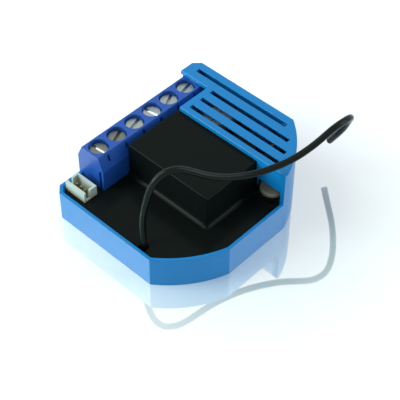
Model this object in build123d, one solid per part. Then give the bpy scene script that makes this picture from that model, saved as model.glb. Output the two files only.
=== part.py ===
"""Smart relay module for a flush wall box, as an assembly of separate pieces.

Millimetres, +Z up. X runs from the screw terminals across the module and Y
from the low tray to the slotted hood. The origin is under the middle of the
bounding box, on the surface that the module lies on.
"""
from build123d import *
import math
import os

# Housing, seen from above: a rectangle whose right side is cut by a round arc
housing_length = 41.8
housing_width = 36.4
wall = 1.0
# The round side starts on the front edge at this share of the width and ends on
# the right side at this share of the half length
arc_start_share = 0.7429
arc_end_share = 0.3937
corner_chamfer = 1.5
rim_height = 7.4
rim_slope_width = 0.32
rim_slope_depth = 0.6
hood_plate = 1.0
hood_depth = 13.35
hood_left = 7.7
hood_front_wall_height = 4.4
hood_rib_from_left = 26.0
hood_rib_width = 1.0
hood_rib_depth = 0.8
outer_edge_radius = 0.2

# Vent slots in the hood
slot_count = 4
slot_width = 1.1
slot_pitch = 3.02
back_slot_from_back = 2.4
back_slot_start = 2.5
slot_start = 9.2
slot_end_insets = [2.75, 2.2, 2.35, 2.7]
slot_land = 0.3
slot_draft = 0.5

# Base plate, its bosses, pins and snap clips
base_thickness = 1.2
base_gap = 0.1
boss_height = 1.8
boss_diameter = 3.0
pin_diameter = 1.2
pin_gap = 0.075
pin_below_board_top = 0.2
boss_places = [(9.5, 3.6), (31.5, 10.0), (30.9, 34.0), (3.8, 39.2)]
clip_width = 3.0
clip_thickness = 0.8
clip_gap = 0.1
clip_catch = 0.35
clip_hook_height = 0.6
clip_below_board = 0.15
clip_from_left = 12.0
catch_gap = 0.1

# Circuit board
board_thickness = 1.6
board_gap = 0.25
lead_hole_gap = 0.15
hole_sides = 8
lead_below_board = 0.8

# Black inner cover: a floor in the tray and a box over the relay
cover_floor_drop = 0.8
cover_floor = 0.8
cover_wall = 0.7
cover_gap = 0.25
cover_cove = 0.9
cover_edge = 0.2
cover_under_hood = 0.55
cover_top_gap = 0.1
leg_diameter = 2.0
leg_pin_diameter = 1.0
leg_pin_length = 1.0
leg_places = [(10.5, 8.5), (29.3, 6.6), (33.0, 21.5)]

# Terminal block
pole_count = 6
pole_pitch = 5.0
block_overhang = 0.4
block_depth = 7.35
block_from_front = 7.3
block_under_hood = 0.45
left_slope_inset = 1.27
left_slope_drop = 2.8
right_slope_inset = 1.31
right_slope_drop = 3.3
block_wall_gap = 0.2
block_step_above_board = 0.5
notch_gap = 0.2
end_gap = 0.1
joint_groove_width = 0.65
joint_groove_depth = 0.7
joint_groove_from_right = 0.6
joint_groove_drop = 3.6
joint_tongue_gap = 0.1
test_slot_width = 0.6
test_slot_height = 1.6
test_slot_depth = 0.5
test_slot_drop = 0.55

# Terminal screws, cages and contacts
head_diameter = 3.9
head_height = 1.0
head_gap = 0.15
head_recess = 0.8
head_seat = 0.5
head_edge = 0.15
driver_slot_width = 0.7
driver_slot_depth = 0.6
slot_turns = [6, 114, 106, 8, 118, 104]
shank_diameter = 2.5
shank_hole_gap = 0.1
thread_gap = 0.05
tip_gap = 0.05
cage_length = 4.0
cage_wall = 0.6
cage_side_gap = 0.1
cage_nut = 0.9
cage_gap = 0.1
cage_above_board = 0.4
wire_room = 2.6
funnel_depth = 0.4
bar_thickness = 0.6
bar_width = 2.4
bar_gap = 0.1
bar_slot_gap = 0.1
tail_width = 1.2

# Three way socket
header_length = 5.5
header_width = 3.4
header_height = 4.3
header_wall = 0.5
header_floor = 1.0
header_from_front = 2.2
header_side_gap = 0.08
header_notch_width = 1.1
header_notch_depth = 2.2
header_hole_gap = 0.15
header_pitch = 1.25
header_pin = 0.45
header_pin_height = 3.4
header_pin_count = 3

# Aerial: one insulated wire, its route chosen by hand from the foot to the cut end
aerial_diameter = 1.4
aerial_hole_gap = 0.2
aerial_route = [
    (5.5, -18.75, 4.6),
    (5.5, -18.75, 6.5),
    (4.5, -18.0, 9.0),
    (4.0, -17.5, 12.25),
    (4.25, -17.0, 16.0),
    (4.75, -16.0, 20.25),
    (5.75, -14.25, 23.5),
    (7.25, -11.5, 24.25),
    (8.75, -9.0, 22.75),
    (10.25, -6.25, 20.5),
    (12.0, -3.0, 18.75),
    (14.0, 1.0, 17.75),
    (16.0, 5.0, 17.75),
    (18.25, 9.75, 18.75),
    (20.0, 14.0, 21.0),
    (21.0, 18.0, 23.25),
    (21.4, 21.6, 23.4),
    (20.5, 24.4, 21.5),
    (18.8, 26.4, 18.3),
    (17.25, 27.25, 14.5),
    (15.25, 27.75, 10.75),
    (13.25, 28.5, 7.25),
]
# An arc may use this share of the shorter of its two runs
arc_share = 0.45

# Relay under the box of the inner cover
relay_length = 20.0
relay_gap = 0.15
relay_top_gap = 0.2
relay_wall = 0.6
relay_base_thickness = 1.1
relay_fit = 0.1
relay_lift = 0.3
bobbin_length = 13.2
bobbin_size = 6.2
bobbin_flange = 0.7
bobbin_tube_share = 0.08
bobbin_from_front = 0.5
bobbin_gap = 0.1
winding_inset = 0.5
core_share = 0.484
core_pole_share = 0.742
core_pole_height = 0.8
core_gap = 0.05
yoke_thickness = 1.0
yoke_width = 5.0
yoke_from_end = 0.4
yoke_gap = 0.1
yoke_arm_share = 0.75
yoke_headroom = 0.35
armature_thickness = 0.8
armature_gap = 0.05
armature_open_angle = 5.0
armature_foot_gap = 0.5
spring_thickness = 0.3
spring_width = 2.0
spring_reach = 3.0
contact_diameter = 1.8
contact_height = 0.5
blade_thickness = 0.6
blade_width = 2.2
blade_room = 1.1
relay_lead = 0.8

# Service button and its switch
button_diameter = 5.2
button_height = 0.8
button_wall_gap = 0.2
button_angle = 25.9
button_above_floor = 0.8
button_crown = 0.35
stem_diameter = 2.4
stem_gap = 0.05
stem_length = 1.6
button_hole_gap = 0.35
switch_size = 4.0
switch_gap = 0.8
switch_bore_gap = 0.325

# Round parts of the mains supply, standing on the board
capacitor_diameter = 8.0
capacitor_height = 8.5
capacitor_left_gap = 0.5
capacitor_front_gap = 1.2
capacitor_groove = 0.3
capacitor_groove_height = 1.2
capacitor_edge = 0.4
sleeve_thickness = 0.15
sleeve_lip = 0.5
vent_depth = 0.1
vent_width = 0.25
lead_diameter = 0.6
lead_pitch = 3.5
inductor_diameter = 6.0
inductor_height = 7.0
inductor_flange = 0.8
inductor_waist = 4.4
inductor_gap_share = 0.75
inductor_front_gap = 0.8
small_capacitor_diameter = 4.0
small_capacitor_height = 7.0
small_capacitor_gap = 0.35
small_capacitor_front_gap = 0.9
small_lead_pitch = 1.5
varistor_diameter = 7.0
varistor_thickness = 3.2
varistor_lift = 0.8
varistor_shift = 0.9
varistor_back_gap = 0.9
varistor_lead_pitch = 5.0
fuse_diameter = 2.4
fuse_height = 7.0
fuse_shift = 0.15
fuse_back_gap = 2.7
fuse_bend = 1.0

# Flat parts on the board
chip_size = 6.0
chip_height = 0.9
chip_place = (18.0, 9.2)
crystal_length = 3.2
crystal_width = 2.5
crystal_height = 0.8
crystal_place = (24.0, 9.2)
chip_part_length = 1.6
chip_part_width = 0.8
chip_part_height = 0.6
chip_part_pitch = 1.7
chip_part_columns = 4
chip_part_rows = 2
chip_part_start = (12.6, 3.0)
rectifier_length = 4.7
rectifier_width = 3.9
rectifier_height = 1.4
rectifier_place = (16.0, 25.0)

# Faces and heights that several pieces share
left = block_overhang - (housing_width + block_overhang) / 2
right = left + housing_width
front = -housing_length / 2
back = front + housing_length
arc_start_x = left + housing_width * arc_start_share
arc_end_y = back * arc_end_share
arc_x = (right ** 2 - arc_start_x ** 2 + arc_end_y ** 2 - back ** 2) / (2 * (right - arc_start_x))
arc_radius = math.hypot(right - arc_x, arc_end_y)
board_bottom = base_thickness + boss_height
board_top = board_bottom + board_thickness
lead_bottom = board_bottom - lead_below_board
relay_floor = board_top + relay_base_thickness
coil_z = relay_floor + bobbin_gap + bobbin_size / 2
yoke_arm_bottom = coil_z + bobbin_size / 2 + yoke_gap
yoke_arm_top = yoke_arm_bottom + yoke_thickness * yoke_arm_share
relay_top = yoke_arm_top + yoke_headroom + relay_wall
box_top = relay_top + relay_top_gap + cover_wall
plate_bottom = box_top + cover_top_gap
housing_height = plate_bottom + hood_plate
floor_top = rim_height - cover_floor_drop
floor_bottom = floor_top - cover_floor
hood_front = back - hood_depth
hood_left_face = left + hood_left

# Terminal block planes
block_left = left - block_overhang
block_right = block_left + block_depth
block_front = front + block_from_front
block_back = block_front + pole_count * pole_pitch
block_top = box_top
block_step = board_top + block_step_above_board
arm_front = block_back - block_under_hood
screw_x = (block_left + left_slope_inset + block_right - right_slope_inset) / 2
pole_y = [block_front + pole_pitch * (k + 1 / 2) for k in range(pole_count)]
head_top = block_top - head_recess
head_bottom = head_top - head_height
cavity_top = head_bottom - head_seat
cage_bottom = board_top + cage_above_board
cage_floor = cage_bottom + cage_wall
bar_bottom = cage_floor + wire_room
bar_top = bar_bottom + bar_thickness
cage_ceiling = bar_top + bar_gap
cage_top = cage_ceiling + cage_nut
wire_entry_diameter = wire_room
cage_width = shank_diameter + 2 * (cage_side_gap + cage_wall)
cavity_length = cage_length + 2 * cage_gap
cavity_width = cage_width + 2 * cage_gap
shank_bottom = cage_ceiling + tip_gap
wire_z = cage_floor + wire_room / 2
tail_left = screw_x + cage_length / 2 + cage_gap + bar_slot_gap + bar_thickness / 2

# Relay box and relay planes
relay_width = (
    2 * relay_wall + bobbin_from_front + bobbin_size + spring_reach + blade_width / 2 + blade_room
)
box_left = block_right + cover_gap
box_right = box_left + relay_length + 2 * (cover_wall + relay_gap)
box_back = hood_front + cover_under_hood
box_front = box_back - relay_width - 2 * (cover_wall + relay_gap)
relay_left = box_left + cover_wall + relay_gap
relay_right = relay_left + relay_length
relay_front = box_front + cover_wall + relay_gap
relay_back = relay_front + relay_width

# Relay mechanism, from the yoke's end to the armature
yoke_left_inset = relay_wall + yoke_from_end
core_diameter = bobbin_size * core_share
core_pole_diameter = bobbin_size * core_pole_share
bobbin_tube_wall = bobbin_size * bobbin_tube_share
coil_y = relay_front + relay_wall + bobbin_from_front + bobbin_size / 2
bobbin_left = relay_left + yoke_left_inset + yoke_thickness + bobbin_gap
bobbin_right = bobbin_left + bobbin_length
pole_face = bobbin_right + core_pole_height
hinge_x = pole_face + armature_gap
hinge_z = yoke_arm_top - armature_thickness / 2
armature_right = hinge_x + armature_thickness
contact_y = coil_y + bobbin_size / 2 + spring_reach
contact_z = coil_z - bobbin_size / 4
spring_left = armature_right
contact_face = spring_left - contact_height
blade_x = contact_face - armature_gap - contact_height - blade_thickness

# Service button
button_reach = arc_radius - wall - button_wall_gap - button_diameter / 2
button_x = arc_x + button_reach * math.cos(math.radians(button_angle))
button_y = button_reach * math.sin(math.radians(button_angle))
button_bottom = floor_top + button_above_floor
switch_top = button_bottom - switch_gap

# Supply parts in two rows behind the relay box, from the hood's left wall to the right
capacitor_x = hood_left_face + wall + capacitor_left_gap + capacitor_diameter / 2
capacitor_place = (capacitor_x, box_back + capacitor_front_gap + capacitor_diameter / 2)
small_capacitor_x = button_x - (button_diameter + small_capacitor_diameter) / 2 - small_capacitor_gap
small_capacitor_y = box_back + small_capacitor_front_gap + small_capacitor_diameter / 2
small_capacitor_place = (small_capacitor_x, small_capacitor_y)
capacitor_right = capacitor_x + capacitor_diameter / 2
inductor_room = small_capacitor_x - small_capacitor_diameter / 2 - capacitor_right - inductor_diameter
inductor_x = capacitor_right + inductor_room * inductor_gap_share + inductor_diameter / 2
inductor_place = (inductor_x, box_back + inductor_front_gap + inductor_diameter / 2)
varistor_x = inductor_x + varistor_shift
varistor_place = (varistor_x, back - wall - varistor_back_gap - varistor_thickness / 2)
fuse_x = small_capacitor_x + fuse_shift
fuse_place = (fuse_x, back - wall - fuse_back_gap - (lead_diameter + fuse_diameter) / 2)


def slab(x0, x1, y0, y1, z0, z1):
    """A box between two opposite corners."""
    middle = Pos((x0 + x1) / 2, (y0 + y1) / 2, (z0 + z1) / 2)
    return middle * Box(x1 - x0, y1 - y0, z1 - z0)


def post(x, y, z0, z1, diameter):
    """An upright round post."""
    return Pos(x, y, (z0 + z1) / 2) * Cylinder(diameter / 2, z1 - z0)


def rod(x0, x1, y, z, diameter):
    """A round rod along X."""
    middle = Pos((x0 + x1) / 2, y, z)
    return middle * Rot(0, 90, 0) * Cylinder(diameter / 2, x1 - x0)


def from_corner(place):
    """Turn a place given from the housing's front left corner into the part's frame."""
    return left + place[0], front + place[1]


def outline(inset):
    """The housing seen from above, drawn in by an inset from its outer face."""
    plan = Pos((left + right) / 2, 0) * Rectangle(housing_width - 2 * inset, housing_length - 2 * inset)
    plan = plan & (Pos(arc_x, 0) * Circle(arc_radius - inset) + region(left, arc_x, front, back))
    leg = corner_chamfer - inset * (2 - math.sqrt(2))
    return chamfer(plan.vertices().group_by(Axis.X)[0], leg)


def prism(plan, z0, z1):
    """A plan pulled up between two heights."""
    return Pos(0, 0, z0) * extrude(plan, z1 - z0)


def region(x0, x1, y0, y1):
    """A rectangle in plan between two corners."""
    return Pos((x0 + x1) / 2, (y0 + y1) / 2) * Rectangle(x1 - x0, y1 - y0)


def clip_frames():
    """Where the four snap clips stand, each with its outward direction along local X."""
    clip_x = left + clip_from_left
    return [
        Pos(clip_x, front + wall, 0) * Rot(0, 0, -90),
        Pos(clip_x, back - wall, 0) * Rot(0, 0, 90),
        Pos(right - wall, 0, 0),
        Pos(left + wall, 0, 0) * Rot(0, 0, 180),
    ]


def vent_slots():
    """Cutters of the slots in the hood's plate, from the back one to the front one."""
    cutters = []
    for k in range(slot_count):
        y = back - back_slot_from_back - k * slot_pitch
        start = left + (back_slot_start if k == 0 else slot_start)
        end = arc_x + math.sqrt(arc_radius ** 2 - y ** 2) - slot_end_insets[k]
        half = slot_width / 2
        # below a narrow land the far side of the slot slopes away under the plate
        profile = Polyline(
            (y - half, housing_height), (y + half, housing_height), (y + half, housing_height - slot_land),
            (y + half + slot_draft, plate_bottom), (y - half, plate_bottom), (y - half, housing_height)
        )
        cutters.append(extrude(Plane.YZ.offset(start) * make_face(profile), end - start))
    return cutters


def make_housing():
    """Blue moulding: tray wall and slotted hood in one piece, open below."""
    hood_plan = outline(0) & (
        region(hood_left_face, right, hood_front, back) + region(left, right, arm_front, back)
    )
    body = prism(outline(0), 0, rim_height) + prism(hood_plan, rim_height, housing_height)
    # round the hood's upper edge and its upright edges before the hollow is cut
    top_face = body.faces().sort_by(Axis.Z)[-1]
    body = fillet(top_face.outer_wire().edges(), outer_edge_radius)
    body -= prism(outline(wall), 0, rim_height)
    # inner side of the hood, behind its left wall and its short front wall
    hollow_front = hood_front + wall
    hollow = outline(wall) & (
        region(hood_left_face + wall, right, hollow_front, back)
        + region(left, right, block_back + end_gap, back)
    )
    body -= prism(hollow, rim_height, plate_bottom)
    # the relay box passes under the hood's front edge
    body -= slab(
        hood_left_face, box_right + end_gap, hood_front - wall, box_back + end_gap, rim_height, plate_bottom
    )
    # under the short front wall the hood is open to the tray
    body -= slab(
        box_right, right - wall, hood_front - wall, hollow_front,
        rim_height, plate_bottom - hood_front_wall_height
    )
    # the terminal block stands in a notch of the left wall and under the hood's arm
    body -= slab(
        left - wall, hood_left_face, block_front - end_gap, block_back + end_gap,
        block_step - notch_gap, plate_bottom
    )
    # the tray's rim falls off on its inner side
    slope_bottom = rim_height - rim_slope_depth
    slope_foot = Plane.XY.offset(slope_bottom) * outline(wall)
    slope_mouth = Plane.XY.offset(rim_height) * outline(wall - rim_slope_width)
    slope = loft([slope_foot, slope_mouth])
    body -= slope & slab(left, right, front, hood_front, slope_bottom, rim_height)
    for cutter in vent_slots():
        body -= cutter
    # stiffening rib on the inner side of the back wall
    rib_x = left + hood_rib_from_left
    body += slab(
        rib_x - hood_rib_width / 2, rib_x + hood_rib_width / 2,
        back - wall - hood_rib_depth, back - wall, rim_height, plate_bottom
    )
    # pockets for the base plate's snap clips
    hook_top = board_bottom - clip_below_board
    for frame in clip_frames():
        half = clip_width / 2 + catch_gap
        depth = clip_catch + catch_gap
        pocket = slab(
            -clip_gap, depth, -half, half, hook_top - clip_hook_height - catch_gap, hook_top + catch_gap
        )
        body -= frame * pocket
    return body


def make_base_plate():
    """Floor that closes the housing, with bosses, locating pins and four snap clips."""
    body = prism(outline(wall + base_gap), 0, base_thickness)
    for place in boss_places:
        x, y = from_corner(place)
        body += post(x, y, base_thickness, board_bottom, boss_diameter)
        body += post(x, y, board_bottom, board_top - pin_below_board_top, pin_diameter)
    hook_top = board_bottom - clip_below_board
    hook_bottom = hook_top - clip_hook_height
    half = clip_width / 2
    for frame in clip_frames():
        stem = slab(-clip_gap - clip_thickness, -clip_gap, -half, half, base_thickness, hook_top)
        nose = Plane.XZ * make_face(Polyline(
            (-clip_gap, hook_bottom), (clip_catch, hook_bottom),
            (clip_catch, hook_bottom + clip_hook_height / 3), (-clip_gap, hook_top),
            (-clip_gap, hook_bottom)
        ))
        body += frame * (stem + extrude(nose, half, both=True))
    return body


def lead_places(place, pitch, along_y=False):
    """The two places of a radial part's leads."""
    x, y = place
    step_x = 0 if along_y else pitch / 2
    step_y = pitch / 2 if along_y else 0
    return [(x - step_x, y - step_y), (x + step_x, y + step_y)]


def header_pin_places():
    """Centres of the three pins of the socket."""
    x = left + wall + header_side_gap + header_length / 2
    y = front + header_from_front + header_width / 2
    middle = (header_pin_count - 1) / 2
    return [(x + (k - middle) * header_pitch, y) for k in range(header_pin_count)]


def relay_lead_places():
    """Centres of the relay's leads: two of the coil, the yoke's and the fixed contact's."""
    coil_x = relay_left + yoke_left_inset + yoke_thickness + bobbin_gap + bobbin_flange / 2
    coil_half = bobbin_size / 2 - relay_lead / 2
    yoke_x = relay_left + yoke_left_inset + yoke_thickness / 2
    return {
        "coil": [(coil_x, coil_y - coil_half), (coil_x, coil_y + coil_half)],
        "yoke": (yoke_x, coil_y),
        "blade": (blade_x + blade_thickness / 2, contact_y),
    }


def make_main_board():
    """Circuit board with holes for the locating pins and every lead."""
    body = prism(outline(wall + board_gap), board_bottom, board_top)
    holes = []
    for place in boss_places:
        x, y = from_corner(place)
        holes.append((x, y, pin_diameter + 2 * pin_gap))
    for place in leg_places:
        x, y = from_corner(place)
        holes.append((x, y, leg_pin_diameter + 2 * pin_gap))
    radial = lead_places(capacitor_place, lead_pitch) + lead_places(inductor_place, lead_pitch)
    radial += lead_places(small_capacitor_place, small_lead_pitch, along_y=True)
    radial += lead_places(varistor_place, varistor_lead_pitch)
    radial += lead_places(fuse_place, fuse_diameter, along_y=True)
    holes += [(x, y, lead_diameter + 2 * lead_hole_gap) for x, y in radial]
    pin_hole = header_pin * math.sqrt(2) + 2 * lead_hole_gap
    holes += [(x, y, pin_hole) for x, y in header_pin_places()]
    relay_places = relay_lead_places()
    relay_hole = relay_lead * math.sqrt(2) + 2 * lead_hole_gap
    for x, y in relay_places["coil"] + [relay_places["yoke"], relay_places["blade"]]:
        holes.append((x, y, relay_hole))
    for x, y, diameter in holes:
        hole = Pos(x, y) * RegularPolygon(diameter / 2, hole_sides, major_radius=False)
        body -= prism(hole, board_bottom, board_top)
    half_width = tail_width / 2 + lead_hole_gap
    half_thickness = bar_thickness / 2 + lead_hole_gap
    for y in pole_y:
        body -= slab(
            tail_left - half_thickness, tail_left + half_thickness,
            y - half_width, y + half_width, board_bottom, board_top
        )
    return body


def make_inner_cover():
    """Black floor of the tray with the box over the relay."""
    inside = wall + cover_gap
    plan = outline(inside) & region(left, right, front, box_back)
    plan -= region(left, box_left, block_front - cover_gap, back)
    box = slab(box_left, box_right, box_front, box_back, floor_bottom, box_top)
    near_corner = box.edges().filter_by(Axis.Z).sort_by(Axis.Y)[:2].sort_by(Axis.X)[-1]
    box = fillet(box.edges().group_by(Axis.Z)[-1] + [near_corner], cover_edge)
    body = prism(plan, floor_bottom, floor_top) + box
    # cove where the box meets the floor, along its front and its right face
    foot = [
        edge for edge in body.edges().filter_by_position(Axis.Z, floor_top, floor_top)
        if box.distance_to(Vertex(edge @ 0.5)) < cover_edge / 2
    ]
    body = fillet(foot, cover_cove)
    # openings for the socket, the button and the aerial
    header_left = left + wall + header_side_gap
    header_front = front + header_from_front
    body -= slab(
        left, header_left + header_length + header_hole_gap,
        header_front - header_hole_gap, header_front + header_width + header_hole_gap, floor_bottom, floor_top
    )
    body -= post(button_x, button_y, floor_bottom, box_top, button_diameter + 2 * button_hole_gap)
    # the aerial comes up through a notch that is open to the front edge
    foot_x, foot_y, foot_z = aerial_route[0]
    notch_width = aerial_diameter + 2 * aerial_hole_gap
    body -= post(foot_x, foot_y, floor_bottom, floor_top, notch_width)
    body -= slab(foot_x - notch_width / 2, foot_x + notch_width / 2, front, foot_y, floor_bottom, floor_top)
    body -= slab(
        box_left + cover_wall, box_right - cover_wall, box_front + cover_wall, box_back - cover_wall,
        floor_bottom, box_top - cover_wall
    )
    # spacer legs with pins that stand in the board
    for place in leg_places:
        x, y = from_corner(place)
        body += post(x, y, board_top, floor_bottom, leg_diameter)
        body += post(x, y, board_top - leg_pin_length, board_top, leg_pin_diameter)
    return body


def make_terminal_block():
    """Blue body of the six screw terminals."""
    section = Polyline(
        (block_left, block_step),
        (block_left, block_top - left_slope_drop),
        (block_left + left_slope_inset, block_top),
        (block_right - right_slope_inset, block_top),
        (block_right, block_top - right_slope_drop),
        (block_right, board_top),
        (left + wall + block_wall_gap, board_top),
        (left + wall + block_wall_gap, block_step),
        (block_left, block_step),
    )
    profile = Plane.XZ.offset(-block_front) * make_face(section)
    body = extrude(profile, -(block_back - block_front))
    for y in pole_y:
        body -= slab(
            screw_x - cavity_length / 2, screw_x + cavity_length / 2,
            y - cavity_width / 2, y + cavity_width / 2, board_top, cavity_top
        )
        body -= post(screw_x, y, head_bottom, block_top, head_diameter + 2 * head_gap)
        body -= post(screw_x, y, cavity_top, head_bottom, shank_diameter + 2 * shank_hole_gap)
        # wire entry with its funnel
        body -= rod(block_left, screw_x, y, wire_z, wire_entry_diameter)
        funnel = Pos(block_left + funnel_depth / 2, y, wire_z) * Rot(0, 90, 0)
        mouth = wire_entry_diameter / 2
        body -= funnel * Cone(mouth + funnel_depth, mouth, funnel_depth)
        # slot that the contact bar and its tail are put in through, from below
        half_bar = bar_width / 2 + bar_slot_gap
        tail_right = tail_left + bar_thickness / 2 + bar_slot_gap
        body -= slab(screw_x, tail_right, y - half_bar, y + half_bar, board_top, bar_top + bar_slot_gap)
        # narrow slot in the inner slope
        half_slot = test_slot_width / 2
        slot_top = block_top - test_slot_drop
        slot_share = (test_slot_drop + test_slot_height / 2) / right_slope_drop
        slope_x = block_right - right_slope_inset * (1 - slot_share)
        body -= slab(
            slope_x - test_slot_depth, block_right, y - half_slot, y + half_slot,
            slot_top - test_slot_height, slot_top
        )
    # joining groove on the front end and its tongue on the back end
    groove_right = block_right - joint_groove_from_right
    groove_left = groove_right - joint_groove_width
    groove_top = block_top - joint_groove_drop
    groove_back = block_front + joint_groove_depth
    body -= slab(groove_left, groove_right, block_front, groove_back, board_top, groove_top)
    body += slab(
        groove_left + joint_tongue_gap, groove_right - joint_tongue_gap,
        block_back, block_back + joint_groove_depth - joint_tongue_gap,
        board_top, groove_top - joint_tongue_gap
    )
    return body


def make_screw(index):
    """Slotted screw: head on its seat, shank down to the contact bar."""
    y = pole_y[index]
    head = post(screw_x, y, head_bottom, head_top, head_diameter)
    head = chamfer(head.edges().sort_by(Axis.Z)[-1], head_edge)
    slot = Pos(screw_x, y, head_top - driver_slot_depth / 2) * Rot(0, 0, slot_turns[index])
    head -= slot * Box(head_diameter + head_gap, driver_slot_width, driver_slot_depth)
    return head + post(screw_x, y, shank_bottom, head_bottom, shank_diameter)


def make_cage(index):
    """Rising cage: a square ring round wire and bar, with the nut in its top."""
    y = pole_y[index]
    half_length = cage_length / 2
    half_width = cage_width / 2
    body = slab(
        screw_x - half_length, screw_x + half_length, y - half_width, y + half_width, cage_bottom, cage_top
    )
    body -= slab(
        screw_x - half_length, screw_x + half_length,
        y - half_width + cage_wall, y + half_width - cage_wall, cage_floor, cage_ceiling
    )
    return body - post(screw_x, y, cage_ceiling, cage_top, shank_diameter + 2 * thread_gap)


def make_terminal_contacts():
    """Six bent bars, each under its screw with a tail down through the board."""
    bars = []
    for y in pole_y:
        half = bar_width / 2
        bar = slab(
            screw_x - cage_length / 2 + bar_slot_gap, tail_left + bar_thickness / 2,
            y - half, y + half, bar_bottom, bar_top
        )
        upright = slab(
            tail_left - bar_thickness / 2, tail_left + bar_thickness / 2,
            y - half, y + half, board_top, bar_bottom
        )
        tail = slab(
            tail_left - bar_thickness / 2, tail_left + bar_thickness / 2,
            y - tail_width / 2, y + tail_width / 2, lead_bottom, board_top
        )
        bars.append(bar + upright + tail)
    return bars


def make_connector_header():
    """Pale socket for a three way plug, notched in both end walls."""
    x0 = left + wall + header_side_gap
    y0 = front + header_from_front
    x1 = x0 + header_length
    y1 = y0 + header_width
    z1 = board_top + header_height
    body = slab(x0, x1, y0, y1, board_top, z1)
    body -= slab(
        x0 + header_wall, x1 - header_wall, y0 + header_wall, y1 - header_wall, board_top + header_floor, z1
    )
    notch_y = y0 + header_wall
    body -= slab(x0, x1, notch_y, notch_y + header_notch_width, z1 - header_notch_depth, z1)
    for x, y in header_pin_places():
        half = header_pin / 2
        body -= slab(x - half, x + half, y - half, y + half, board_top, board_top + header_floor)
    return body


def make_connector_pins():
    """Square pins of the socket."""
    half = header_pin / 2
    return [
        slab(x - half, x + half, y - half, y + half, lead_bottom, board_top + header_pin_height)
        for x, y in header_pin_places()
    ]


def arc_radii(points):
    """The largest arc that fits each corner of a route."""
    radii = []
    for before, corner, after in zip(points, points[1:], points[2:]):
        first = corner - before
        second = after - corner
        half_turn = math.radians(first.get_angle(second)) / 2
        radii.append(arc_share * min(first.length, second.length) / math.tan(half_turn))
    return radii


def make_aerial():
    """Insulated wire that stands on the board and hangs over the housing's edge."""
    points = [Vector(*point) for point in aerial_route]
    radii = arc_radii(points)
    path = FilletPolyline(*points, radius=radii)
    section = Plane(origin=path @ 0, z_dir=path % 0) * Circle(aerial_diameter / 2)
    tube = sweep(section, path=path)
    area = math.pi * aerial_diameter ** 2 / 4
    print("aerial length", round(path.length, 2), "volume over section times length",
          round(tube.volume / (area * path.length), 4))
    print("aerial radii", [round(radius, 1) for radius in radii])
    return tube


def make_relay_base():
    """Floor of the relay's case, with a hole for each lead."""
    inset = relay_wall + relay_fit
    body = slab(
        relay_left + inset, relay_right - inset, relay_front + inset, relay_back - inset,
        board_top, relay_floor
    )
    places = relay_lead_places()
    side = relay_lead / 2 + relay_fit / 2
    for x, y in places["coil"] + [places["yoke"], places["blade"]]:
        body -= slab(x - side, x + side, y - side, y + side, board_top, relay_floor)
    return body


def make_relay_cover():
    """Case over the relay, open below."""
    body = slab(relay_left, relay_right, relay_front, relay_back, board_top + relay_lift, relay_top)
    body = chamfer(body.edges().filter_by(Axis.Z), relay_wall / 2)
    return body - slab(
        relay_left + relay_wall, relay_right - relay_wall, relay_front + relay_wall, relay_back - relay_wall,
        board_top + relay_lift, relay_top - relay_wall
    )


def make_relay_bobbin():
    """Spool with square flanges and a round tube that the core fills."""
    half = bobbin_size / 2
    core_hole = core_diameter + 2 * core_gap
    body = rod(bobbin_left, bobbin_right, coil_y, coil_z, core_hole + 2 * bobbin_tube_wall)
    for x in (bobbin_left, bobbin_right - bobbin_flange):
        body += slab(x, x + bobbin_flange, coil_y - half, coil_y + half, coil_z - half, coil_z + half)
    body -= rod(bobbin_left, bobbin_right, coil_y, coil_z, core_hole)
    # sockets that the coil's leads stand in
    side = relay_lead / 2 + relay_fit / 2
    top = coil_z - half + relay_lead + relay_fit
    for x, y in relay_lead_places()["coil"]:
        body -= slab(x - bobbin_flange, x + bobbin_flange / 2, y - side, y + side, coil_z - half, top)
    return body


def make_relay_coil():
    """Copper winding between the flanges."""
    x0 = bobbin_left + bobbin_flange
    x1 = bobbin_right - bobbin_flange
    tube = core_diameter + 2 * core_gap + 2 * bobbin_tube_wall
    winding = rod(x0, x1, coil_y, coil_z, bobbin_size - 2 * winding_inset)
    return winding - rod(x0, x1, coil_y, coil_z, tube)


def make_relay_core():
    """Iron core with its pole face, riveted in the yoke."""
    yoke_left = relay_left + yoke_left_inset
    shaft = rod(yoke_left, bobbin_right, coil_y, coil_z, core_diameter)
    return shaft + rod(bobbin_right, pole_face, coil_y, coil_z, core_pole_diameter)


def make_relay_yoke():
    """L shaped iron: upright plate behind the coil and arm over it, with its lead."""
    x0 = relay_left + yoke_left_inset
    half = yoke_width / 2
    body = slab(x0, x0 + yoke_thickness, coil_y - half, coil_y + half, relay_floor, yoke_arm_top)
    body += slab(x0, pole_face, coil_y - half, coil_y + half, yoke_arm_bottom, yoke_arm_top)
    body -= rod(x0, x0 + yoke_thickness, coil_y, coil_z, core_diameter)
    x, y = relay_lead_places()["yoke"]
    side = relay_lead / 2
    return body + slab(x - side, x + side, y - side, y + side, lead_bottom, relay_floor)


def opened(body):
    """Turn a piece from the closed armature's place to the open one."""
    hinge = Axis((hinge_x, 0, hinge_z), (0, 1, 0))
    return body.rotate(hinge, -armature_open_angle)


def make_relay_armature():
    """Iron plate in front of the pole face, hung on the end of the yoke's arm."""
    half = yoke_width / 2
    return opened(slab(
        hinge_x, armature_right, coil_y - half, coil_y + half,
        relay_floor + armature_foot_gap, yoke_arm_top - yoke_thickness / 4
    ))


def make_relay_contact_spring():
    """Leaf on the armature that reaches past the coil and carries the moving contact."""
    x0 = spring_left
    x1 = x0 + spring_thickness
    y0 = coil_y - yoke_width / 2
    y1 = contact_y + contact_diameter / 2
    leaf = slab(x0, x1, y0, y1, contact_z - spring_width / 2, contact_z + spring_width / 2)
    contact = rod(contact_face, x0, contact_y, contact_z, contact_diameter)
    return opened(leaf + contact)


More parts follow.
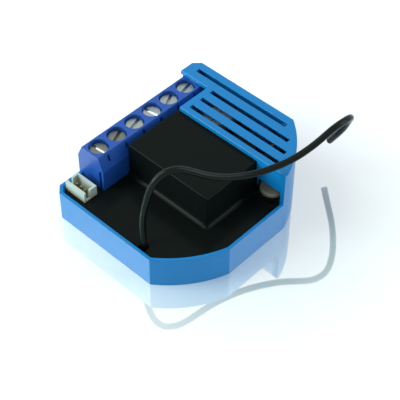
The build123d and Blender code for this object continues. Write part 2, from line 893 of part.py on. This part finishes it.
def make_relay_fixed_contact():
    """Upright blade with the fixed contact and a lead through the board."""
    half = blade_width / 2
    body = slab(
        blade_x, blade_x + blade_thickness, contact_y - half, contact_y + half,
        relay_floor, contact_z + contact_diameter
    )
    body += rod(blade_x + blade_thickness, blade_x + blade_thickness + contact_height, contact_y, contact_z,
                contact_diameter)
    x, y = relay_lead_places()["blade"]
    side = relay_lead / 2
    thin = blade_thickness / 2
    return body + slab(x - thin, x + thin, y - side, y + side, lead_bottom, relay_floor)


def make_relay_coil_pins():
    """Two square leads under the bobbin's flange."""
    side = relay_lead / 2
    top = coil_z - bobbin_size / 2 + relay_lead
    return [
        slab(x - bobbin_flange / 2, x + bobbin_flange / 2, y - side, y + side, lead_bottom, top)
        for x, y in relay_lead_places()["coil"]
    ]


def make_service_button():
    """Crowned round cap on a stem."""
    cap_top = button_bottom + button_height
    cap = post(button_x, button_y, button_bottom, cap_top, button_diameter)
    cap = fillet(cap.edges().sort_by(Axis.Z)[-1], button_crown)
    return cap + post(button_x, button_y, button_bottom - stem_length, button_bottom, stem_diameter)


def make_tact_switch():
    """Switch body that the button's stem slides in."""
    half = switch_size / 2
    body = Rot(0, 0, button_angle) * slab(-half, half, -half, half, board_top, switch_top)
    body = Pos(button_x, button_y, 0) * body
    bore = stem_diameter + 2 * stem_gap
    bore_bottom = button_bottom - stem_length - switch_bore_gap
    return body - post(button_x, button_y, bore_bottom, switch_top, bore)


def ring_profile(points):
    """A closed outline of radius and height, turned once round the Z axis."""
    return revolve(Plane.XZ * make_face(Polyline(*points, points[0])), Axis.Z)


def add_leads(body, places, top):
    """Round leads from the underside of a part down through the board."""
    for x, y in places:
        body += post(x, y, lead_bottom, top, lead_diameter)
    return body


def make_main_capacitor():
    """Aluminium can with its crimp and vent score, bare inside the sleeve's lip."""
    radius = capacitor_diameter / 2 - sleeve_thickness
    crimp = radius - capacitor_groove
    mid = capacitor_groove_height
    top = capacitor_height - sleeve_thickness
    points = [
        (0, 0), (radius, 0), (radius, mid - capacitor_groove), (crimp, mid), (radius, mid + capacitor_groove),
        (radius, top - capacitor_edge), (radius - capacitor_edge, top), (0, top),
    ]
    x, y = capacitor_place
    body = Pos(x, y, board_top) * ring_profile(points)
    score = 2 * (radius - capacitor_edge - sleeve_lip)
    score_z = board_top + top - vent_depth / 2
    body -= Pos(x, y, score_z) * Box(score, vent_width, vent_depth)
    body -= Pos(x, y, score_z) * Box(vent_width, score, vent_depth)
    return add_leads(body, lead_places(capacitor_place, lead_pitch), board_top)


def make_capacitor_sleeve():
    """Shrunk sleeve round the can, with a lip over its upper edge."""
    outer = capacitor_diameter / 2
    inner = outer - sleeve_thickness
    top = capacitor_height - sleeve_thickness
    lip = inner - capacitor_edge - sleeve_lip
    points = [
        (inner, capacitor_groove_height + capacitor_groove),
        (outer, capacitor_groove_height + capacitor_groove),
        (outer, top - capacitor_edge), (outer - capacitor_edge, capacitor_height), (lip, capacitor_height),
        (lip, top), (inner - capacitor_edge, top), (inner, top - capacitor_edge),
    ]
    x, y = capacitor_place
    return Pos(x, y, board_top) * ring_profile(points)


def make_inductor():
    """Drum core with a wound waist between two flanges."""
    outer = inductor_diameter / 2
    waist = inductor_waist / 2
    upper = inductor_height - inductor_flange
    points = [
        (0, 0), (outer, 0), (outer, inductor_flange), (waist, inductor_flange),
        (waist, upper), (outer, upper), (outer, inductor_height), (0, inductor_height),
    ]
    x, y = inductor_place
    body = Pos(x, y, board_top) * ring_profile(points)
    return add_leads(body, lead_places(inductor_place, lead_pitch), board_top)


def make_small_capacitor():
    """Smaller can beside the inductor."""
    x, y = small_capacitor_place
    body = post(x, y, board_top, board_top + small_capacitor_height, small_capacitor_diameter)
    body = chamfer(body.edges().sort_by(Axis.Z)[-1], capacitor_edge)
    return add_leads(body, lead_places(small_capacitor_place, small_lead_pitch, along_y=True), board_top)


def make_varistor():
    """Dipped disc that stands on its two leads."""
    x, y = varistor_place
    centre_z = board_top + varistor_lift + varistor_diameter / 2
    disc = Pos(x, y, centre_z) * Rot(90, 0, 0) * Cylinder(varistor_diameter / 2, varistor_thickness)
    disc = chamfer(disc.edges().filter_by(GeomType.CIRCLE), varistor_thickness / 4)
    half_pitch = varistor_lead_pitch / 2
    lead_top = centre_z - math.sqrt((varistor_diameter / 2) ** 2 - half_pitch ** 2) + lead_diameter
    return add_leads(disc, lead_places(varistor_place, varistor_lead_pitch), lead_top)


def make_fuse_resistor():
    """Upright wire wound resistor with its upper lead bent down beside it."""
    places = lead_places(fuse_place, fuse_diameter, along_y=True)
    x, y = places[0]
    body_top = board_top + fuse_height
    body = post(x, y, board_top, body_top, fuse_diameter)
    body = chamfer(body.edges().sort_by(Axis.Z)[-1], fuse_diameter / 6)
    side_x, side_y = places[1]
    bend_z = body_top + fuse_bend
    half = lead_diameter / 2
    body += post(x, y, body_top - fuse_bend, bend_z, lead_diameter)
    body += slab(x - half, x + half, y - half, side_y + half, bend_z - half, bend_z + half)
    body += post(side_x, side_y, board_top, bend_z, lead_diameter)
    return add_leads(body, places, board_top)


def make_controller_chip():
    """Radio controller, flat on the board."""
    x, y = from_corner(chip_place)
    return Pos(x, y, board_top + chip_height / 2) * Box(chip_size, chip_size, chip_height)


def make_crystal():
    """Crystal beside the controller."""
    x, y = from_corner(crystal_place)
    return Pos(x, y, board_top + crystal_height / 2) * Box(crystal_length, crystal_width, crystal_height)


def make_small_parts():
    """Resistors and capacitors in short rows near the front edge."""
    x, y = from_corner(chip_part_start)
    parts = []
    for column in range(chip_part_columns):
        for row in range(chip_part_rows):
            place = Pos(
                x + column * (chip_part_pitch + chip_part_length / 2), y + row * chip_part_pitch,
                board_top + chip_part_height / 2
            )
            parts.append(place * Box(chip_part_length, chip_part_width, chip_part_height))
    return parts


def make_rectifier():
    """Bridge rectifier, flat under the board."""
    x, y = from_corner(rectifier_place)
    middle = Pos(x, y, board_bottom - rectifier_height / 2)
    return middle * Box(rectifier_length, rectifier_width, rectifier_height)


def nodes():
    """Every node's name with its solid or solids."""
    made = {
        "housing": make_housing(),
        "base_plate": make_base_plate(),
        "main_board": make_main_board(),
        "inner_cover": make_inner_cover(),
        "terminal_block": make_terminal_block(),
        "terminal_contacts": make_terminal_contacts(),
        "connector_header": make_connector_header(),
        "connector_pins": make_connector_pins(),
        "aerial": make_aerial(),
        "relay_base": make_relay_base(),
        "relay_cover": make_relay_cover(),
        "relay_bobbin": make_relay_bobbin(),
        "relay_coil": make_relay_coil(),
        "relay_core": make_relay_core(),
        "relay_yoke": make_relay_yoke(),
        "relay_armature": make_relay_armature(),
        "relay_contact_spring": make_relay_contact_spring(),
        "relay_fixed_contact": make_relay_fixed_contact(),
        "relay_coil_pins": make_relay_coil_pins(),
        "service_button": make_service_button(),
        "tact_switch": make_tact_switch(),
        "main_capacitor": make_main_capacitor(),
        "capacitor_sleeve": make_capacitor_sleeve(),
        "small_capacitor": make_small_capacitor(),
        "inductor": make_inductor(),
        "varistor": make_varistor(),
        "fuse_resistor": make_fuse_resistor(),
        "controller_chip": make_controller_chip(),
        "crystal": make_crystal(),
        "small_parts": make_small_parts(),
        "rectifier": make_rectifier(),
    }
    for index in range(pole_count):
        made[f"terminal_screw_{index + 1}"] = make_screw(index)
        made[f"clamp_cage_{index + 1}"] = make_cage(index)
    return made


os.makedirs("parts", exist_ok=True)
for name, shape in nodes().items():
    pieces = shape if isinstance(shape, list) else [shape]
    solids = [solid for piece in pieces for solid in piece.solids()]
    export_step(Compound(children=solids), f"parts/{name}.step")
print("hinge of the armature at x", round(hinge_x, 3), "z", round(hinge_z, 3))
print("button at", round(button_x, 3), round(button_y, 3), "wire entry z", round(wire_z, 3))
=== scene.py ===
"""Looks of the smart relay module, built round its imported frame. Metres, +Z up."""

import math

import bmesh
import bpy
from mathutils import Matrix, Vector


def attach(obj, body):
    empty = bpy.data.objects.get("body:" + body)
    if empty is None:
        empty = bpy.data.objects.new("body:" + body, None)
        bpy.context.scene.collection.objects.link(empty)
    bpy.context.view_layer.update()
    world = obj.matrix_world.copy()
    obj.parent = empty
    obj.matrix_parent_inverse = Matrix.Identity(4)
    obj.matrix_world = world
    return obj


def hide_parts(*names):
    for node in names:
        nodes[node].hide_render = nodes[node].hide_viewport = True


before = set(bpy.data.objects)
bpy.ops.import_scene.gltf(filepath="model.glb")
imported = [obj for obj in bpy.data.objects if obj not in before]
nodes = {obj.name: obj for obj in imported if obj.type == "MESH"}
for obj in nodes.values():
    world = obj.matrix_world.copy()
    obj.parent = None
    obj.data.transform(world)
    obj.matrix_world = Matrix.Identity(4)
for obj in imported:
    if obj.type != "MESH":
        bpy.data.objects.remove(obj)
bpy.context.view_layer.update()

MM = 0.001
POLES = 6

# The photograph's camera: where it stands, how it is turned in degrees, and its lens
CAMERA_PLACE = Vector((116.33, -121.7, 183.3)) * MM
CAMERA_AZIMUTH = 43.03
CAMERA_ELEVATION = 47.24
CAMERA_ROLL = 0.465
CAMERA_LENS = 107.74
CAMERA_SENSOR = 36.0
CAMERA_NEAREST = 1 * MM
CAMERA_FURTHEST = 10

# The aerial: the same points as its solid follows, in millimetres
AERIAL_DIAMETER = 1.4
AERIAL_ROUNDNESS = 8
AERIAL_STEPS = 24
AERIAL_ROUTE = [
    (5.5, -18.75, 4.6),
    (5.5, -18.75, 6.5),
    (4.5, -18.0, 9.0),
    (4.0, -17.5, 12.25),
    (4.25, -17.0, 16.0),
    (4.75, -16.0, 20.25),
    (5.75, -14.25, 23.5),
    (7.25, -11.5, 24.25),
    (8.75, -9.0, 22.75),
    (10.25, -6.25, 20.5),
    (12.0, -3.0, 18.75),
    (14.0, 1.0, 17.75),
    (16.0, 5.0, 17.75),
    (18.25, 9.75, 18.75),
    (20.0, 14.0, 21.0),
    (21.0, 18.0, 23.25),
    (21.4, 21.6, 23.4),
    (20.5, 24.4, 21.5),
    (18.8, 26.4, 18.3),
    (17.25, 27.25, 14.5),
    (15.25, 27.75, 10.75),
    (13.25, 28.5, 7.25),
]

# Waves of tone per metre across a moulding, and how fine that drift, the grain and the wear are
SLOW_DRIFT = 160
DRIFT_DETAIL = 2.0
GRAIN_DETAIL = 4.0
WEAR_DETAIL = 5.0
# How much the roughness of plastic and of metal varies, and the height of surface relief
PLASTIC_UNEVEN = 0.1
METAL_UNEVEN = 0.25
RELIEF = 0.02 * MM
# Rays that look for a rounded edge, and for open sky in a hollow
EDGE_SAMPLES = 6
HOLLOW_SAMPLES = 8
# A screw's slot is at least this far below its head, and its floor gets a painted highlight this
# bright
SLOT_LEAST = 0.3 * MM
SLOT_HIGHLIGHT_COLOUR = (0.92, 1.0, 1.0)
SLOT_HIGHLIGHT_ROUGHNESS = 0.18
# Tint of the highlights on the black pieces
GREENISH = (0.8, 1.0, 0.93)
# The two inputs and the result of a Mix node, for each kind of value that it mixes
MIX_SOCKETS = {"RGBA": (6, 7, 2), "FLOAT": (2, 3, 0)}

# The floor mirrors less and, to the camera alone, glows more with the distance from its centre; the
# weak glow near the object is a painted shade round it
FLOOR_HALF = 3.0
FLOOR_COLOUR = (0.64, 0.84, 0.9, 1)
FLOOR_ROUGHNESS = 0.9
FLOOR_CENTRE = Vector((12, 5, 0)) * MM
FLOOR_NEAR = 17 * MM
FLOOR_FAR = 61 * MM
MIRROR_TINT = (1, 0.97, 0.93, 1)
MIRROR_BLUR = 0.03
MIRROR_NEAR = 0.46
MIRROR_FAR = 0.12
GLOW_TINT = (1, 0.8, 0.74, 1)
GLOW_NEAR = 0.04
GLOW_FAR = 0.5

# How bright the surroundings are in the light that they give, and where they are seen
SKY_COLOUR = (0.98, 0.99, 1, 1)
SKY = 0.55
SKY_SEEN = 1.0
# The soft boxes: name, direction from the object, brightness of the face, and tint
LAMP_DISTANCE = 0.6
LAMP_SIZE = 0.3
WHITE = (1, 1, 1)
LAMPS = [
    ("front_left", (-0.463, -0.496, 0.734), 5.4, WHITE),
    ("right_back", (0.463, 0.496, 0.734), 2.0, WHITE),
    ("front_left_low", (-0.6, -0.75, 0.28), 8.4, (0.88, 1, 0.9)),
    ("right_back_low", (0.75, 0.6, 0.28), 2.8, WHITE),
]


def add_object(name, data):
    """A new object in the scene."""
    thing = bpy.data.objects.new(name, data)
    bpy.context.scene.collection.objects.link(thing)
    return thing


def make_camera():
    """Camera at the photograph's viewpoint."""
    azimuth = math.radians(CAMERA_AZIMUTH)
    elevation = math.radians(CAMERA_ELEVATION)
    roll = math.radians(CAMERA_ROLL)
    level_part = math.cos(elevation)
    back = Vector((
        math.sin(azimuth) * level_part, -math.cos(azimuth) * level_part, math.sin(elevation)
    ))
    level = Vector((0, 0, 1)).cross(back).normalized()
    up = back.cross(level)
    right = math.cos(roll) * level + math.sin(roll) * up
    up = back.cross(right)
    data = bpy.data.cameras.new("photo_camera")
    data.lens = CAMERA_LENS
    data.sensor_width = CAMERA_SENSOR
    data.clip_start = CAMERA_NEAREST
    data.clip_end = CAMERA_FURTHEST
    camera = add_object("photo_camera", data)
    turn = Matrix((right, up, back)).transposed().to_4x4()
    camera.matrix_world = Matrix.Translation(CAMERA_PLACE) @ turn
    bpy.context.scene.camera = camera


def make_material(name):
    """A new node material, its node tree and its shader."""
    material = bpy.data.materials.new(name)
    material.use_nodes = True
    tree = material.node_tree
    return material, tree, tree.nodes["Principled BSDF"]


def add_node(tree, kind, **values):
    """A node with some of its properties and inputs set."""
    node = tree.nodes.new(kind)
    for key, value in values.items():
        if hasattr(node, key):
            setattr(node, key, value)
        else:
            node.inputs[key.replace("_", " ")].default_value = value
    return node


def object_place(tree):
    """The place on an object, in its own coordinates."""
    return add_node(tree, "ShaderNodeTexCoord").outputs["Object"]


def speckle(tree, scale, detail):
    """Noise on object coordinates, in cycles per metre."""
    place = object_place(tree)
    noise = add_node(tree, "ShaderNodeTexNoise", Scale=scale, Detail=detail)
    tree.links.new(place, noise.inputs["Vector"])
    return noise.outputs["Fac"]


def scaled(tree, value, **ends):
    """A value taken from one range to another, each 0 to 1 where its ends aren't given."""
    node = add_node(tree, "ShaderNodeMapRange", **ends)
    tree.links.new(value, node.inputs["Value"])
    return node.outputs["Result"]


def mix(tree, share, first, second, kind="RGBA"):
    """A value or socket that gives way to another as the share goes from 0 to 1."""
    node = add_node(tree, "ShaderNodeMix", data_type=kind)
    *inputs, result = MIX_SOCKETS[kind]
    tree.links.new(share, node.inputs[0])
    for index, value in zip(inputs, (first, second)):
        if isinstance(value, bpy.types.NodeSocket):
            tree.links.new(value, node.inputs[index])
        else:
            node.inputs[index].default_value = value
    return node.outputs[result]


def shade(colour, share):
    """A colour made darker or lighter by a share, with alpha."""
    return (*[min(1.0, channel * share) for channel in colour], 1.0)


def two_tone(tree, shader, noise, colour, spread):
    """Base colour that drifts between a darker and a lighter tone with a noise."""
    tone = mix(tree, noise, shade(colour, 1 - spread), shade(colour, 1 + spread))
    tree.links.new(tone, shader.inputs["Base Color"])


def surface(tree, shader, noise, roughness, spread, bump, edge=0.0):
    """Roughness and fine relief from one noise, over edges that look rounded by a radius in mm."""
    rough = scaled(tree, noise, To_Min=roughness * (1 - spread), To_Max=roughness * (1 + spread))
    tree.links.new(rough, shader.inputs["Roughness"])
    lift = add_node(tree, "ShaderNodeBump", Strength=bump, Distance=RELIEF)
    tree.links.new(noise, lift.inputs["Height"])
    if edge:
        rounding = add_node(tree, "ShaderNodeBevel", samples=EDGE_SAMPLES, Radius=edge * MM)
        tree.links.new(rounding.outputs["Normal"], lift.inputs["Normal"])
    tree.links.new(lift.outputs["Normal"], shader.inputs["Normal"])


def plastic(
    name, colour, roughness, specular=0.2, grain=9000, bump=0.03, spread=0.05, edge=0.0, sheen=None
):
    """Moulded plastic with a faint grain and a slow drift of tone."""
    material, tree, shader = make_material(name)
    two_tone(tree, shader, speckle(tree, SLOW_DRIFT, DRIFT_DETAIL), colour, spread)
    surface(tree, shader, speckle(tree, grain, GRAIN_DETAIL), roughness, PLASTIC_UNEVEN, bump, edge)
    shader.inputs["Specular IOR Level"].default_value = specular
    if sheen:
        shader.inputs["Specular Tint"].default_value = (*sheen, 1)
    return material


def metal(name, colour, roughness, grain=2500, bump=0.05, spread=0.2):
    """Plated or bare metal with fine wear."""
    material, tree, shader = make_material(name)
    shader.inputs["Metallic"].default_value = 1.0
    wear = speckle(tree, grain, WEAR_DETAIL)
    two_tone(tree, shader, wear, colour, spread)
    surface(tree, shader, wear, roughness, METAL_UNEVEN, bump)
    return material


def shade_hollows(material, colour, reach):
    """Paint shade into the hollows of a pale moulding: a second colour where little open sky is
    near.
    """
    tree = material.node_tree
    base = tree.nodes["Principled BSDF"].inputs["Base Color"]
    unshaded = base.links[0].from_socket
    open_sky = add_node(
        tree, "ShaderNodeAmbientOcclusion", samples=HOLLOW_SAMPLES, Distance=reach * MM
    )
    tree.links.new(mix(tree, open_sky.outputs["AO"], (*colour, 1), unshaded), base)
    return material


def paint_slot_highlight(material, name):
    """Make the floor of a screw's slot bright and smooth: a painted highlight."""
    heights = {round(vertex.co.z, 6) for vertex in nodes[name].data.vertices}
    head = max(heights)
    floor = max(z for z in heights if z < head - SLOT_LEAST)
    tree = material.node_tree
    shader = tree.nodes["Principled BSDF"]
    parts = add_node(tree, "ShaderNodeSeparateXYZ")
    tree.links.new(object_place(tree), parts.inputs["Vector"])
    above = scaled(
        tree, parts.outputs["Z"], From_Min=floor + RELIEF, From_Max=floor + 3 * RELIEF
    )
    for socket, kind, bright in (
        ("Base Color", "RGBA", (*SLOT_HIGHLIGHT_COLOUR, 1)), ("Roughness", "FLOAT", SLOT_HIGHLIGHT_ROUGHNESS)
    ):
        plain = shader.inputs[socket].links[0].from_socket
        tree.links.new(mix(tree, above, bright, plain, kind), shader.inputs[socket])
    return material


def dress(material, *names):
    """Give CAD nodes a material in all their slots."""
    for name in names:
        slots = nodes[name].data.materials
        for index in range(len(slots)):
            slots[index] = material
        if not len(slots):
            slots.append(material)


def make_aerial():
    """The insulated wire as one smooth line through the route's points."""
    curve = bpy.data.curves.new("aerial_wire", "CURVE")
    curve.dimensions = "3D"
    curve.bevel_depth = AERIAL_DIAMETER / 2 * MM
    curve.bevel_resolution = AERIAL_ROUNDNESS
    curve.resolution_u = AERIAL_STEPS
    curve.use_fill_caps = True
    spline = curve.splines.new("NURBS")
    spline.points.add(len(AERIAL_ROUTE) - 1)
    for point, place in zip(spline.points, AERIAL_ROUTE):
        point.co = (*[c * MM for c in place], 1)
    spline.order_u = 3
    spline.use_endpoint_u = True
    curve.materials.append(plastic(
        "wire_black", (0.0025, 0.0035, 0.003), 0.22, specular=0.17, grain=4000, sheen=GREENISH
    ))
    wire = add_object("aerial_wire", curve)
    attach(wire, "case")
    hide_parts("aerial")


def outward(tree, near, far):
    """A value that goes from near to far with the distance from the floor's centre."""
    offset = add_node(tree, "ShaderNodeVectorMath", operation="DISTANCE")
    tree.links.new(object_place(tree), offset.inputs[0])
    offset.inputs[1].default_value = FLOOR_CENTRE
    return scaled(
        tree, offset.outputs["Value"],
        From_Min=FLOOR_NEAR, From_Max=FLOOR_FAR, To_Min=near, To_Max=far
    )


def floor_white():
    """Matt white under a faint mirror, with a glow that only the camera sees, kept weak near the
    object as a painted shade.
    """
    material, tree, matt = make_material("floor_white")
    matt.inputs["Base Color"].default_value = FLOOR_COLOUR
    matt.inputs["Roughness"].default_value = FLOOR_ROUGHNESS
    matt.inputs["Specular IOR Level"].default_value = 0.0
    mirror = add_node(tree, "ShaderNodeBsdfGlossy", Roughness=MIRROR_BLUR, Color=MIRROR_TINT)
    layers = add_node(tree, "ShaderNodeMixShader")
    tree.links.new(outward(tree, MIRROR_NEAR, MIRROR_FAR), layers.inputs["Fac"])
    tree.links.new(matt.outputs["BSDF"], layers.inputs[1])
    tree.links.new(mirror.outputs["BSDF"], layers.inputs[2])
    rays = add_node(tree, "ShaderNodeLightPath")
    gain = add_node(tree, "ShaderNodeMath", operation="MULTIPLY")
    tree.links.new(outward(tree, GLOW_NEAR, GLOW_FAR), gain.inputs[0])
    tree.links.new(rays.outputs["Is Camera Ray"], gain.inputs[1])
    glow = add_node(tree, "ShaderNodeEmission", Color=GLOW_TINT)
    tree.links.new(gain.outputs["Value"], glow.inputs["Strength"])
    total = add_node(tree, "ShaderNodeAddShader")
    tree.links.new(layers.outputs["Shader"], total.inputs[0])
    tree.links.new(glow.outputs["Emission"], total.inputs[1])
    tree.links.new(total.outputs["Shader"], tree.nodes["Material Output"].inputs["Surface"])
    return material


def make_floor():
    """Wide flat floor under the object."""
    mesh = bpy.data.meshes.new("floor")
    shape = bmesh.new()
    bmesh.ops.create_grid(shape, x_segments=1, y_segments=1, size=FLOOR_HALF)
    shape.to_mesh(mesh)
    shape.free()
    mesh.materials.append(floor_white())
    add_object("floor", mesh)


def seen_directly(tree):
    """One for rays from the camera, and for those that a mirror or clear piece sends on."""
    rays = add_node(tree, "ShaderNodeLightPath")
    total = rays.outputs["Is Camera Ray"]
    for kind in ("Is Glossy Ray", "Is Transmission Ray"):
        larger = add_node(tree, "ShaderNodeMath", operation="MAXIMUM")
        tree.links.new(total, larger.inputs[0])
        tree.links.new(rays.outputs[kind], larger.inputs[1])
        total = larger.outputs["Value"]
    return total


def make_world():
    """Even pale surroundings, brighter where they are seen than in the light that they give."""
    world = bpy.data.worlds.new("studio")
    bpy.context.scene.world = world
    world.use_nodes = True
    tree = world.node_tree
    background = tree.nodes["Background"]
    background.inputs["Color"].default_value = SKY_COLOUR
    strength = scaled(tree, seen_directly(tree), To_Min=SKY, To_Max=SKY_SEEN)
    tree.links.new(strength, background.inputs["Strength"])


def make_light(name, direction, brightness, tint):
    """A square soft box that faces the object, given by how bright its face looks."""
    data = bpy.data.lights.new(name, "AREA")
    data.shape = "SQUARE"
    data.size = LAMP_SIZE
    data.energy = brightness * math.pi * LAMP_SIZE ** 2
    data.color = tint
    lamp = add_object(name, data)
    lamp.location = Vector(direction).normalized() * LAMP_DISTANCE
    lamp.rotation_euler = (-lamp.location).to_track_quat("-Z", "Y").to_euler()


def dress_case():
    """Finish of the mouldings that close the module, and of its button."""
    blue = plastic("blue_shell", (0.0045, 0.19, 0.497), 0.28, specular=0.25, edge=0.15)
    dress(blue, "housing", "base_plate")
    block = plastic("blue_block", (0.011, 0.076, 0.36), 0.37, specular=0.38, edge=0.12)
    dress(block, "terminal_block")
    cover = plastic(
        "black_cover", (0.0042, 0.0063, 0.006), 0.2, specular=0.058, edge=0.15, sheen=GREENISH
    )
    dress(cover, "inner_cover")
    button = plastic("button_grey", (0.215, 0.22, 0.165), 0.4, specular=0.45)
    dress(button, "service_button")


def dress_terminals():
    """Finish of the screws, the cages and the contacts."""
    # The screws nearest the front are duller, and two show a painted highlight on the floor of
    # their slot
    bright, dull = (0.38, 0.44, 0.43), (0.2, 0.222, 0.205)
    steel = metal("screw_steel", bright, 0.38)
    dress(steel, "terminal_screw_3", "terminal_screw_5", "terminal_screw_6")
    dress(metal("screw_dull", dull, 0.42), "terminal_screw_2")
    for name, colour in (("terminal_screw_1", dull), ("terminal_screw_4", bright)):
        slot_lit = metal(f"screw_slot_highlight_{name[-1]}", colour, 0.4)
        dress(paint_slot_highlight(slot_lit, name), name)
    cages = [f"clamp_cage_{k + 1}" for k in range(POLES)]
    dress(metal("cage_steel", (0.5, 0.5, 0.48), 0.4), *cages)
    brass = metal("tinned_brass", (0.6, 0.52, 0.36), 0.35)
    dress(brass, "terminal_contacts", "relay_coil_pins")


def dress_socket():
    """Finish of the plug socket and its pins."""
    socket = plastic("pale_socket", (0.5, 0.6, 0.56), 0.45, specular=0.4)
    # The pale socket gets a painted olive shade in its hollows
    dress(shade_hollows(socket, (0.36, 0.4, 0.2), 1.3), "connector_header")
    dress(metal("pin_gold", (0.3, 0.26, 0.14), 0.5), "connector_pins")


def dress_relay():
    """Finish of the relay's pieces."""
    dress(plastic("relay_case", (0.02, 0.07, 0.2), 0.35), "relay_cover", "relay_base")
    dress(plastic("bobbin_white", (0.6, 0.58, 0.5), 0.5), "relay_bobbin")
    dress(metal("coil_copper", (0.55, 0.2, 0.08), 0.35), "relay_coil")
    iron = metal("plated_iron", (0.45, 0.45, 0.44), 0.4)
    dress(iron, "relay_core", "relay_yoke", "relay_armature")
    bronze = metal("spring_bronze", (0.6, 0.36, 0.14), 0.35)
    dress(bronze, "relay_contact_spring", "relay_fixed_contact")


def dress_board():
    """Finish of the circuit board and of what it carries."""
    dress(plastic("board_green", (0.02, 0.12, 0.05), 0.35), "main_board")
    dress(plastic("switch_black", (0.02, 0.02, 0.02), 0.5), "tact_switch")
    can = metal("can_aluminium", (0.29, 0.32, 0.31), 0.3, grain=600, spread=0.12)
    dress(can, "main_capacitor")
    sleeve = plastic("sleeve_dark", (0.03, 0.035, 0.05), 0.3)
    dress(sleeve, "capacitor_sleeve", "small_capacitor")
    dress(plastic("ferrite_black", (0.02, 0.02, 0.02), 0.6), "inductor")
    dress(plastic("varistor_blue", (0.02, 0.06, 0.25), 0.4), "varistor")
    dress(plastic("resistor_coat", (0.08, 0.11, 0.09), 0.6), "fuse_resistor")
    chip = plastic("chip_black", (0.015, 0.015, 0.015), 0.5)
    dress(chip, "controller_chip", "small_parts", "rectifier")
    dress(metal("crystal_can", (0.6, 0.6, 0.58), 0.35), "crystal")


bpy.context.scene.view_settings.view_transform = "Standard"
make_camera()
make_aerial()
dress_case()
dress_terminals()
dress_socket()
dress_relay()
dress_board()
make_floor()
make_world()
for lamp in LAMPS:
    make_light(*lamp)
